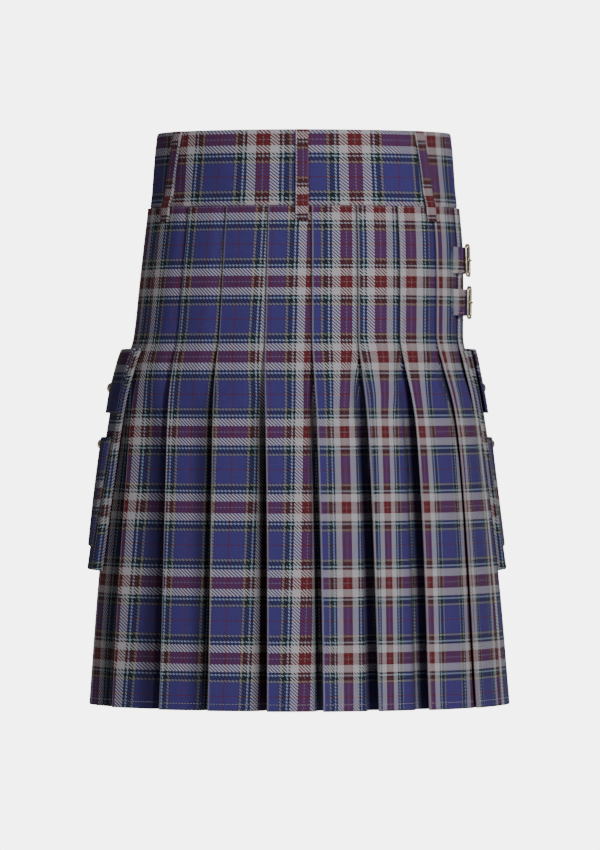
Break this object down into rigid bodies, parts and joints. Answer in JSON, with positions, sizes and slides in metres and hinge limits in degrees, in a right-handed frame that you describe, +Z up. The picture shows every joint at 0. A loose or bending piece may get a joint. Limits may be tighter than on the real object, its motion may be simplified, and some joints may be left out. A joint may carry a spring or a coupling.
{
  "type": "utility kilt",
  "caption": "Wrapped tartan kilt in worn form with a deep waistband, stitched knife pleats at the back, flapped hip pockets and buckled hip straps.",
  "frame": {"origin": "middle of the waist, halfway down the waistband, where a wearer holds the garment", "axes": "+Z up, -Y out of the pleated back, +Y out of the aprons at the front, +X towards the wearer's right hip, where the straps close"},
  "size_m": [0.4533, 0.3298, 0.61],
  "materials": {
    "tartan": "matt twill, woven in a blue, red and white check",
    "brass": "polished"
  },
  "bodies": {
    "root": {"waistband_back": "tartan", "waistband_over_apron": "tartan", "waistband_under_apron": "tartan", "over_apron": "tartan", "under_apron": "tartan", "pleats_left": "tartan", "pleats_back": "tartan", "pleats_right": "tartan", "belt_loop_back": "tartan", "belt_loop_back_left": "tartan", "belt_loop_back_right": "tartan", "belt_loop_front_left": "tartan", "belt_loop_front_right": "tartan", "buckle_tab_upper": "tartan", "hip_strap_upper": "tartan", "buckle_tab_lower": "tartan", "hip_strap_lower": "tartan", "pocket_left_bag": "tartan", "pocket_left_flap": "tartan", "pocket_left_patch": "tartan", "pocket_right_bag": "tartan", "pocket_right_flap": "tartan", "pocket_right_patch": "tartan", "buckle_frame_upper": "brass", "buckle_prong_upper": "brass", "buckle_frame_lower": "brass", "buckle_prong_lower": "brass", "pocket_left_flap_stud": "brass", "pocket_left_patch_stud": "brass", "pocket_right_flap_stud": "brass", "pocket_right_patch_stud": "brass"}
  },
  "joints": []
}
